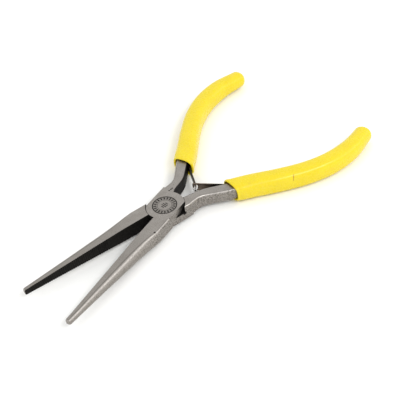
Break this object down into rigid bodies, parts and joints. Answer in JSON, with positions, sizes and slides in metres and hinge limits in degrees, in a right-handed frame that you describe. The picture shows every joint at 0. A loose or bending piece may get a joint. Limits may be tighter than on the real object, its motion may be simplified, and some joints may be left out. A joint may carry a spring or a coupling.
{
  "type": "needle nose pliers",
  "caption": "Slim long-reach needle nose pliers with a lap joint, interlocking leaf springs that open the jaws and bent handles in soft yellow vinyl.",
  "frame": {"origin": "on the pivot axis, at the flat underside of the joint", "axes": "+X from the pivot towards the handles, +Y towards half A's handle, +Z along the pivot axis out of the stamped face"},
  "size_m": [0.1619, 0.088, 0.0094],
  "materials": {
    "forged_steel": "satin ground steel, dark oxide on the inner faces",
    "rivet_steel": "ground flush with the joint",
    "spring_steel": "tempered spring steel",
    "yellow_vinyl": "semi-gloss dipped vinyl"
  },
  "bodies": {
    "half_a": {"lever_a": "forged_steel", "pivot_rivet": "rivet_steel", "leaf_foot_a": "spring_steel", "leaf_rivet_a": "rivet_steel", "grip_a": "yellow_vinyl"},
    "half_b": {"lever_b": "forged_steel", "leaf_foot_b": "spring_steel", "leaf_rivet_b": "rivet_steel", "grip_b": "yellow_vinyl"},
    "leaf_a": {"leaf_spring_a": "spring_steel"},
    "leaf_b": {"leaf_spring_b": "spring_steel"}
  },
  "joints": [
    {"name": "pivot", "type": "hinge", "parent": "half_a", "child": "half_b", "pos_m": [0, 0, 0.0034], "axis": [0, 0, 1], "range_deg": [0, 20.6], "stiffness_Nm_per_rad": 0.8, "springref_deg": -20.05},
    {"name": "leaf_a_flex", "type": "hinge", "parent": "half_a", "child": "leaf_a", "pos_m": [0.02691, 0.0118, 0.0034], "axis": [0, 0, 1], "range_deg": [-18, 0]},
    {"name": "leaf_b_flex", "type": "hinge", "parent": "half_b", "child": "leaf_b", "pos_m": [0.02691, -0.0118, 0.0034], "axis": [0, 0, 1], "range_deg": [0, 18]}
  ],
  "couplings": [
    {"joint": "leaf_a_flex", "follows": "pivot", "ratio": -0.8622},
    {"joint": "leaf_b_flex", "follows": "pivot", "ratio": 0.8622}
  ]
}
